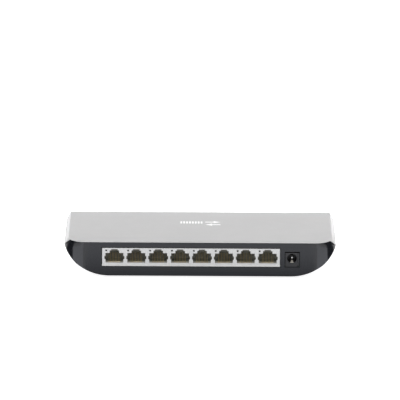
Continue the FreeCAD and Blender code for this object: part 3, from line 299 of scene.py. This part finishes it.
class Tree:
    """A material under construction; every texture is laid in the object's own coordinates."""

    def __init__(self, name):
        self.material = bpy.data.materials.new(name)
        self.material.use_nodes = True
        self.nodes = self.material.node_tree.nodes
        self.links = self.material.node_tree.links
        self.shader = self.nodes["Principled BSDF"]
        self.coords = self.nodes.new("ShaderNodeTexCoord").outputs["Object"]

    def set(self, socket, value):
        """Sets a value that is the same all over the surface."""
        self.shader.inputs[socket].default_value = value

    def link(self, out, socket):
        """Feeds a texture to one of the shader's sockets."""
        self.links.new(out, self.shader.inputs[socket])

    def stretched(self, scale):
        """The object's coordinates, scaled along each axis."""
        node = self.nodes.new("ShaderNodeMapping")
        node.inputs["Scale"].default_value = scale
        self.links.new(self.coords, node.inputs["Vector"])
        return node.outputs[0]

    def noise(self, size, detail=2.0, roughness=0.5, stretch=None):
        """Noise whose features are about `size` metres across."""
        node = self.nodes.new("ShaderNodeTexNoise")
        node.inputs["Scale"].default_value = 1.0 / size
        node.inputs["Detail"].default_value = detail
        node.inputs["Roughness"].default_value = roughness
        vector = self.stretched(stretch) if stretch else self.coords
        self.links.new(vector, node.inputs["Vector"])
        return node.outputs["Fac"]

    def spread(self, value, low, high, start=0.3, end=0.7):
        """Remaps a noise value to low..high."""
        node = self.nodes.new("ShaderNodeMapRange")
        node.inputs["From Min"].default_value = start
        node.inputs["From Max"].default_value = end
        node.inputs["To Min"].default_value = low
        node.inputs["To Max"].default_value = high
        self.links.new(value, node.inputs["Value"])
        return node.outputs["Result"]

    def tint(self, value, first, second, start=0.3, end=0.7):
        """Colour that runs from first to second with a noise value."""
        node = self.nodes.new("ShaderNodeValToRGB")
        node.color_ramp.elements[0].position = start
        node.color_ramp.elements[0].color = (*first, 1)
        node.color_ramp.elements[1].position = end
        node.color_ramp.elements[1].color = (*second, 1)
        self.links.new(value, node.inputs["Fac"])
        return node.outputs["Color"]

    def along(self, axis, start, end):
        """0 to 1 between two places along one of the object's own axes."""
        node = self.nodes.new("ShaderNodeSeparateXYZ")
        self.links.new(self.coords, node.inputs[0])
        return self.spread(node.outputs[axis], 0.0, 1.0, start, end)

    def times(self, first, second):
        """Product of two numbers."""
        node = self.nodes.new("ShaderNodeMath")
        node.operation = "MULTIPLY"
        self.links.new(first, node.inputs[0])
        self.links.new(second, node.inputs[1])
        return node.outputs[0]

    def blend(self, share, first, second):
        """Colour that goes from first to second with share."""
        node = self.nodes.new("ShaderNodeMix")
        node.data_type = "RGBA"
        self.links.new(share, node.inputs["Factor"])
        self.links.new(first, node.inputs[MIX_FIRST])
        self.links.new(second, node.inputs[MIX_SECOND])
        return node.outputs[MIX_RESULT]

    def multiply(self, first, second):
        """Product of two colours."""
        node = self.nodes.new("ShaderNodeMix")
        node.data_type = "RGBA"
        node.blend_type = "MULTIPLY"
        node.inputs["Factor"].default_value = 1.0
        self.links.new(first, node.inputs[MIX_FIRST])
        self.links.new(second, node.inputs[MIX_SECOND])
        return node.outputs[MIX_RESULT]

    def add(self, first, second):
        """Sum of two numbers."""
        node = self.nodes.new("ShaderNodeMath")
        node.operation = "ADD"
        self.links.new(first, node.inputs[0])
        self.links.new(second, node.inputs[1])
        return node.outputs[0]

    def bump(self, height, depth, strength=1.0, under=None):
        """Bump of `depth` metres; `under` is an earlier bump that this one sits on."""
        node = self.nodes.new("ShaderNodeBump")
        node.inputs["Strength"].default_value = strength
        node.inputs["Distance"].default_value = depth
        self.links.new(height, node.inputs["Height"])
        if under:
            self.links.new(under, node.inputs["Normal"])
        return node.outputs["Normal"]


def shades(colour, spread):
    """A darker and a lighter neighbour of a colour."""
    low = tuple(c * (1 - spread) for c in colour)
    high = tuple(min(1.0, c * (1 + spread)) for c in colour)
    return low, high


def moulded(name, colour, roughness, grain, depth, spread=0.03):
    """Moulded surface: spark-eroded grain, faint flow variation, hazy handling marks."""
    t = Tree(name)
    low, high = shades(colour, spread)
    flow = t.tint(t.noise(28 * MM, 3.0), low, high)
    speck = t.tint(t.noise(grain * 1.3, 1.0), *shades((0.97, 0.97, 0.97), 0.03))
    t.link(t.multiply(flow, speck), "Base Color")
    haze = t.spread(t.noise(16 * MM, 4.0, 0.6), roughness * 0.88, roughness * 1.14)
    t.link(haze, "Roughness")
    fine = t.bump(t.noise(grain, 2.0, 0.6), depth)
    t.link(t.bump(t.noise(14 * MM, 1.0), 0.03 * MM, 0.35, fine), "Normal")
    return t


def metal(name, colour, roughness, brush=None):
    """Plated or drawn metal; brush scales the fine grain along each axis."""
    t = Tree(name)
    t.set("Metallic", 1.0)
    t.link(t.tint(t.noise(5 * MM, 3.0), *shades(colour, 0.05)), "Base Color")
    streaks = t.noise(METAL_GRAIN, 2.0, 0.6, brush)
    t.link(t.spread(streaks, roughness * 0.8, roughness * 1.25), "Roughness")
    t.link(t.bump(streaks, METAL_GRAIN_DEPTH, 0.8), "Normal")
    return t


def cover_material():
    """Light silver-grey plastic with a fine spark texture and a faint pearly fleck."""
    t = Tree("cover_plastic")
    flow = t.tint(t.noise(45 * MM, 3.0), (0.492, 0.490, 0.491), (0.520, 0.517, 0.516))
    fleck = t.tint(t.noise(0.45 * MM, 2.0), (0.955, 0.955, 0.955), (1.0, 1.0, 1.0))
    t.link(t.multiply(flow, fleck), "Base Color")
    t.link(t.spread(t.noise(20 * MM, 4.0, 0.6), 0.40, 0.50), "Roughness")
    t.set("Specular IOR Level", 0.42)
    grain = t.bump(t.noise(0.38 * MM, 2.0, 0.6), 0.010 * MM)
    t.link(t.bump(t.noise(18 * MM, 1.0), 0.03 * MM, 0.3, grain), "Normal")
    return t.material


def housing_material():
    """Charcoal plastic, satin from a polished tool, with slight orange peel and fine scuffs."""
    t = Tree("housing_plastic")
    flow = t.tint(t.noise(35 * MM, 3.0), (0.0070, 0.0076, 0.0098), (0.0090, 0.0098, 0.0124))
    fleck = t.tint(t.noise(0.6 * MM, 2.0), (0.93, 0.93, 0.93), (1.0, 1.0, 1.0))
    t.link(t.multiply(flow, fleck), "Base Color")
    scuffs = t.noise(1.2 * MM, 3.0, 0.7, (1.0, 1.0, 7.0))
    haze = t.spread(t.noise(13 * MM, 4.0, 0.6), 0.11, 0.17)
    t.link(t.add(haze, t.spread(scuffs, -0.02, 0.02)), "Roughness")
    t.set("Specular IOR Level", 0.42)
    peel = t.bump(t.noise(3.0 * MM, 1.0), 0.006 * MM, 0.4)
    t.link(t.bump(t.noise(0.3 * MM, 2.0), 0.001 * MM, 0.5, peel), "Normal")
    return t.material


# Moulded plastics, rubbers and ceramics: colour, roughness, size of the grain, its depth, and how
# far the colour varies.
MOULDED = {
    "window_plastic": ((0.008, 0.008, 0.009), 0.06, 0.5 * MM, 0.0005 * MM, 0.1),
    "clear_plastic": ((0.86, 0.90, 0.90), 0.08, 0.5 * MM, 0.001 * MM, 0.02),
    "led_lens": ((0.80, 0.80, 0.62), 0.25, 0.2 * MM, 0.002 * MM),
    "jack_plastic": ((0.009, 0.009, 0.010), 0.36, 0.3 * MM, 0.003 * MM),
    "chip_plastic": ((0.020, 0.020, 0.022), 0.55, 0.12 * MM, 0.004 * MM),
    "pad_rubber": ((0.33, 0.39, 0.46), 0.70, 0.2 * MM, 0.01 * MM),
    "ferrite": ((0.045, 0.045, 0.05), 0.65, 0.15 * MM, 0.012 * MM, 0.1),
    "chip_ceramic": ((0.30, 0.20, 0.12), 0.45, 0.1 * MM, 0.003 * MM, 0.15),
}
# Metals: colour, roughness, and how the grain is scaled along each axis.
METALS = {
    "contact_gold": ((0.80, 0.69, 0.48), 0.36, (1.0, 6.0, 6.0)),
    "plated_spring": ((0.88, 0.84, 0.75), 0.52, (1.0, 6.0, 6.0)),
    "sink_aluminium": ((0.045, 0.045, 0.05), 0.40, (8.0, 1.0, 8.0)),
    "can_steel": ((0.66, 0.66, 0.64), 0.22, (1.0, 1.0, 6.0)),
    "capacitor_sleeve": ((0.66, 0.66, 0.68), 0.28, (1.0, 1.0, 5.0)),
    "screw_steel": ((0.52, 0.52, 0.51), 0.32),
}
INKS = {"white_ink": (0.93, 0.93, 0.93), "grey_ink": (0.10, 0.10, 0.11)}


def build_materials():
    """All materials, by the names of the record's material slots and of the two inks."""
    made = {name: moulded(name, *values) for name, values in MOULDED.items()}
    made.update({name: metal(name, *values) for name, values in METALS.items()})
    made["window_plastic"].set("Coat Weight", 0.5)
    made["window_plastic"].set("Coat Roughness", 0.03)
    made["clear_plastic"].set("Transmission Weight", 0.85)
    made["clear_plastic"].set("IOR", 1.49)
    made["led_lens"].set("Subsurface Weight", 0.2)
    made["plated_spring"].set("Metallic", 0.4)
    materials = {name: tree.material for name, tree in made.items()}
    materials.update({name: ink_material(name, colour) for name, colour in INKS.items()})
    materials["cover_plastic"] = cover_material()
    materials["housing_plastic"] = housing_material()
    materials["shield_steel"] = shield_material()
    materials["port_plastic"] = port_material()
    materials["plated_pin"] = pin_material()
    materials["board"] = board_material()
    materials["foot_rubber"] = rubber_material()
    materials["label_film"] = label_material()
    return materials


# Where the painted light on the comb floor inside the socket mouths ends upwards and inwards, and where
# the painted shade at the root of the inlet's pin begins, each as the start and end of a short fade.
PAINTED_LIGHT_TOP_FADE = (10.95 * MM, 10.75 * MM)
PAINTED_LIGHT_BACK_FADE = (-38.5 * MM, -40.5 * MM)
PIN_PAINTED_SHADE_FADE = (-35.15 * MM, -35.05 * MM)


def port_material():
    """Insert plastic with painted light: the comb floor just inside the socket mouths is paler, for light
    falling in from the front.
    """
    t = Tree("port_plastic")
    body = t.tint(t.noise(9 * MM, 3.0), *shades((0.27, 0.265, 0.225), 0.06))
    # Painted light: the comb floor near the mouths is coloured paler for the light that falls in from the
    # front.
    painted_light = t.tint(t.noise(2 * MM, 2.0), *shades((0.86, 0.84, 0.78), 0.05))
    low = t.along("Z", *PAINTED_LIGHT_TOP_FADE)
    near = t.along("Y", *PAINTED_LIGHT_BACK_FADE)
    t.link(t.blend(t.times(low, near), body, painted_light), "Base Color")
    t.link(t.spread(t.noise(4 * MM, 3.0), 0.38, 0.48), "Roughness")
    t.link(t.bump(t.noise(0.3 * MM, 2.0, 0.6), 0.005 * MM), "Normal")
    return t.material


def pin_material():
    """Nickel-plated pin, bright along its shaft, with painted shade: near-black at its root deep in the
    bore.
    """
    t = Tree("plated_pin")
    t.set("Metallic", 1.0)
    shaft = t.tint(t.noise(1.5 * MM, 3.0), *shades((0.78, 0.77, 0.74), 0.05))
    # Painted shade: the root deep in the bore is coloured near-black for the shade there.
    painted_shade = t.tint(t.noise(0.5 * MM, 3.0), *shades((0.020, 0.019, 0.018), 0.2))
    t.link(t.blend(t.along("Y", *PIN_PAINTED_SHADE_FADE), shaft, painted_shade), "Base Color")
    lines = t.noise(0.08 * MM, 2.0, 0.6, (6.0, 1.0, 6.0))
    t.link(t.spread(lines, 0.14, 0.23), "Roughness")
    t.link(t.bump(lines, 0.002 * MM, 0.8), "Normal")
    return t.material


def ink_material(name, colour):
    """Pad-printed ink: slightly uneven cover, satin."""
    t = Tree(name)
    t.link(t.tint(t.noise(0.7 * MM, 3.0), *shades(colour, 0.03)), "Base Color")
    t.link(t.spread(t.noise(1.6 * MM, 3.0), 0.42, 0.55), "Roughness")
    t.set("Specular IOR Level", 0.35)
    t.link(t.bump(t.noise(0.25 * MM, 2.0), 0.002 * MM), "Normal")
    return t.material


def shield_material():
    """Nickel-plated sheet steel with a soft, even bloom and faint rolling lines."""
    t = Tree("shield_steel")
    t.set("Metallic", 0.55)
    t.link(t.tint(t.noise(6 * MM, 3.0), (0.500, 0.498, 0.490), (0.555, 0.552, 0.543)), "Base Color")
    lines = t.noise(0.12 * MM, 3.0, 0.6, (0.06, 1.0, 1.0))
    bloom = t.spread(t.noise(3 * MM, 3.0), 0.30, 0.40)
    t.link(t.add(bloom, t.spread(lines, -0.05, 0.05)), "Roughness")
    t.link(t.bump(lines, 0.0015 * MM, 0.8), "Normal")
    return t.material


def board_material():
    """Green solder mask over a glass weave."""
    t = Tree("board")
    weave = t.noise(0.5 * MM, 1.0)
    t.link(t.tint(weave, (0.010, 0.085, 0.032), (0.018, 0.125, 0.050)), "Base Color")
    t.link(t.spread(t.noise(8 * MM, 3.0), 0.22, 0.34), "Roughness")
    t.link(t.bump(weave, 0.006 * MM, 0.6), "Normal")
    return t.material


def rubber_material():
    """Dull black rubber with a dusting picked up from the desk."""
    t = Tree("foot_rubber")
    dust = t.noise(1.4 * MM, 5.0, 0.7)
    t.link(t.tint(dust, (0.018, 0.018, 0.018), (0.055, 0.053, 0.050), 0.45, 0.8), "Base Color")
    t.link(t.spread(dust, 0.68, 0.9), "Roughness")
    t.set("Specular IOR Level", 0.3)
    t.link(t.bump(t.noise(0.25 * MM, 3.0, 0.7), 0.02 * MM), "Normal")
    return t.material


def label_material():
    """Blank silvered film label."""
    t = Tree("label_film")
    t.link(t.tint(t.noise(12 * MM, 3.0), (0.62, 0.62, 0.61), (0.70, 0.70, 0.69)), "Base Color")
    t.link(t.spread(t.noise(0.8 * MM, 3.0), 0.34, 0.46), "Roughness")
    t.set("Metallic", 0.25)
    t.link(t.bump(t.noise(2.0 * MM, 3.0), 0.008 * MM, 0.6), "Normal")
    return t.material


# ---------------------------------------------------------------- carried-over parts
CREASE = math.radians(28.0)
WELD_GAP = 0.004 * MM
FACE_WEIGHT = 90


def even_shading(obj):
    """Joins the imported faces into one skin that shades smoothly and keeps its hard edges."""
    weld = obj.modifiers.new("join", "WELD")
    weld.merge_threshold = WELD_GAP
    split = obj.modifiers.new("creases", "EDGE_SPLIT")
    split.split_angle = CREASE
    split.use_edge_sharp = False
    even = obj.modifiers.new("normals", "WEIGHTED_NORMAL")
    even.weight = FACE_WEIGHT
    even.keep_sharp = True


def dress_nodes(materials):
    """Gives every part of the CAD model its material and smooth shading."""
    slot_of = {s["node"]: s["material_slot"] for s in frame["record"]["subparts"]}
    for name, obj in NODES.items():
        obj.data.materials.clear()
        obj.data.materials.append(materials[slot_of[name]])
        for polygon in obj.data.polygons:
            polygon.use_smooth = True
        even_shading(obj)


# ---------------------------------------------------------------- printed marks
# All sizes of this section are in millimetres.
INK_THICK = 0.02
INK_GAP = 0.002  # keeps the ink's back clear of the face below it
TOP_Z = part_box("top_cover")[1][2] / MM
WINDOW_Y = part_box("front_window")[1][1] / MM
LABEL_LOW = Vector(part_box("rating_label")[0]) / MM
LABEL_HIGH = Vector(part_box("rating_label")[1]) / MM

BAR_COUNT = 8
BAR_PITCH = 1.95
BAR_WIDE = 1.25
BAR_START_X = -13.4
BAR_LOW_Y = 6.2
BAR_HIGH_Y = 12.6
BAR_CUT = 0.3
ARROW_LEFT = 3.4
ARROW_RIGHT = 13.6
ARROW_UPPER_Y = 10.6
ARROW_LOWER_Y = 3.2
ARROW_SHAFT = 1.1  # half its thickness
ARROW_HEAD = 3.2  # half its width
ARROW_HEAD_LONG = 4.6

LAMP_COUNT = 8
LAMP_PITCH = 12.0
POWER_LAMP_X = 48.0
MARK_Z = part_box("front_window")[0][2] / MM + 1.1
MARK_TALL = 1.6
NUMERAL_TALL = 2.1
RING_THICK = 0.2
RING_START = 125.0  # degrees, where the opening at the top ends
RING_SWEEP = 290.0
RING_STEPS = 24
STEM_HALF = 0.1
STEM_LOW = 0.1
STEM_RISE = 0.15  # above the ring
STEM_CUT = 0.03

LABEL_MARGIN = 1.4
FRAME_WIDE = 0.3
RULE_HEIGHTS = (8.4, 15.4)  # above the label's lower edge
RULE_INSET = 1.6
RULE_THICK = 0.2
RULE_CUT = 0.05


def add_outline(corners, faces, outline, seat, right, up):
    """Adds one thin plate of ink; outline is (u, v), counter-clockwise."""
    normal = right.cross(up)
    first = len(corners)
    count = len(outline)
    for height in (INK_GAP, INK_THICK):
        corners += [(seat + right * u + up * v + normal * height) * MM for u, v in outline]
    faces.append([first + count + i for i in range(count)])
    faces.append([first + i for i in reversed(range(count))])
    for i in range(count):
        j = (i + 1) % count
        faces.append([first + i, first + j, first + count + j, first + count + i])


def print_piece(name, outlines, seat, right, up, material):
    """One printed mark made of several outlines, lying on a face of the casing."""
    corners = []
    faces = []
    for outline in outlines:
        add_outline(corners, faces, outline, Vector(seat), Vector(right), Vector(up))
    mesh = bpy.data.meshes.new(name)
    mesh.from_pydata(corners, [], faces)
    mesh.update()
    mesh.materials.append(material)
    piece = bpy.data.objects.new(name, mesh)
    scene.collection.objects.link(piece)
    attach(piece, "case")


def arrow(x0, x1, y):
    """Outline of an arrow from x0 to x1 at height y."""
    way = 1 if x1 > x0 else -1
    neck = x1 - way * ARROW_HEAD_LONG
    points = [(x0, y - ARROW_SHAFT), (neck, y - ARROW_SHAFT), (neck, y - ARROW_HEAD), (x1, y),
              (neck, y + ARROW_HEAD), (neck, y + ARROW_SHAFT), (x0, y + ARROW_SHAFT)]
    return points if way > 0 else points[::-1]


def bar(x0, y0, x1, y1, corner):
    """Outline of an upright bar with cut corners."""
    return [(x0 + corner, y0), (x1 - corner, y0), (x1, y0 + corner), (x1, y1 - corner),
            (x1 - corner, y1), (x0 + corner, y1), (x0, y1 - corner), (x0, y0 + corner)]


def top_mark(material):
    """Neutral exchange symbol and eight bars, one per socket."""
    outlines = [arrow(ARROW_LEFT, ARROW_RIGHT, ARROW_UPPER_Y), arrow(ARROW_RIGHT, ARROW_LEFT, ARROW_LOWER_Y)]
    for i in range(BAR_COUNT):
        x = BAR_START_X + BAR_PITCH * i
        outlines.append(bar(x, BAR_LOW_Y, x + BAR_WIDE, BAR_HIGH_Y, BAR_CUT))
    print_piece("top_mark", outlines, (0, 0, TOP_Z), (1, 0, 0), (0, 1, 0), material)


def power_outlines():
    """Ring that is open at its top, with an upright bar in the opening."""
    outer = 0.5 * MARK_TALL
    inner = outer - RING_THICK
    angles = [math.radians(RING_START + RING_SWEEP * i / RING_STEPS) for i in range(RING_STEPS + 1)]
    ring = [(outer * math.cos(a), outer * math.sin(a)) for a in angles]
    ring += [(inner * math.cos(a), inner * math.sin(a)) for a in reversed(angles)]
    return [ring, bar(-STEM_HALF, STEM_LOW, STEM_HALF, outer + STEM_RISE, STEM_CUT)]


def number_piece(number, x, material):
    """Raised ink numeral below a lamp, read from the indicator side."""
    curve = bpy.data.curves.new(f"lamp_number_{number}", "FONT")
    curve.body = str(number)
    curve.align_x = "CENTER"
    curve.align_y = "CENTER"
    curve.size = NUMERAL_TALL * MM
    curve.extrude = 0.5 * INK_THICK * MM
    written = bpy.data.objects.new("writing", curve)
    scene.collection.objects.link(written)
    bpy.context.view_layer.update()
    evaluated = written.evaluated_get(bpy.context.evaluated_depsgraph_get())
    mesh = bpy.data.meshes.new_from_object(evaluated)
    bpy.data.objects.remove(written)
    turn = Matrix(((-1, 0, 0), (0, 0, 1), (0, 1, 0))).to_4x4()
    place = Vector((x, WINDOW_Y + 0.5 * INK_THICK + INK_GAP, MARK_Z)) * MM
    mesh.transform(Matrix.Translation(place) @ turn)
    mesh.materials.clear()
    mesh.materials.append(material)
    piece = bpy.data.objects.new(f"lamp_number_{number}", mesh)
    scene.collection.objects.link(piece)
    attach(piece, "case")


def label_outlines():
    """Thin printed frame of the blank label, mitred at its corners, and two ruled lines."""
    x0 = LABEL_LOW.x + LABEL_MARGIN
    y0 = LABEL_LOW.y + LABEL_MARGIN
    x1 = LABEL_HIGH.x - LABEL_MARGIN
    y1 = LABEL_HIGH.y - LABEL_MARGIN
    w = FRAME_WIDE
    outlines = [
        [(x0, y0), (x1, y0), (x1 - w, y0 + w), (x0 + w, y0 + w)],
        [(x1, y0), (x1, y1), (x1 - w, y1 - w), (x1 - w, y0 + w)],
        [(x1, y1), (x0, y1), (x0 + w, y1 - w), (x1 - w, y1 - w)],
        [(x0, y1), (x0, y0), (x0 + w, y0 + w), (x0 + w, y1 - w)],
    ]
    for height in RULE_HEIGHTS:
        y = LABEL_LOW.y + height
        outlines.append(bar(x0 + RULE_INSET, y, x1 - RULE_INSET, y + RULE_THICK, RULE_CUT))
    return outlines


def make_prints(materials):
    """All printed marks: on the top, on the indicator window and on the label."""
    white = materials["white_ink"]
    top_mark(white)
    seat = (POWER_LAMP_X, WINDOW_Y, MARK_Z)
    print_piece("power_symbol", power_outlines(), seat, (-1, 0, 0), (0, 0, 1), white)
    for number in range(1, LAMP_COUNT + 1):
        number_piece(number, POWER_LAMP_X - LAMP_PITCH * number, white)
    # The label faces down, so its outlines are turned over.
    underneath = [[(u, -v) for u, v in reversed(outline)] for outline in label_outlines()]
    seat = (0, 0, LABEL_LOW.z)
    print_piece("label_frame", underneath, seat, (1, 0, 0), (0, -1, 0), materials["grey_ink"])


# ---------------------------------------------------------------- run
make_studio()
MATERIALS = build_materials()
dress_nodes(MATERIALS)
make_prints(MATERIALS)

bpy.context.view_layer.update()
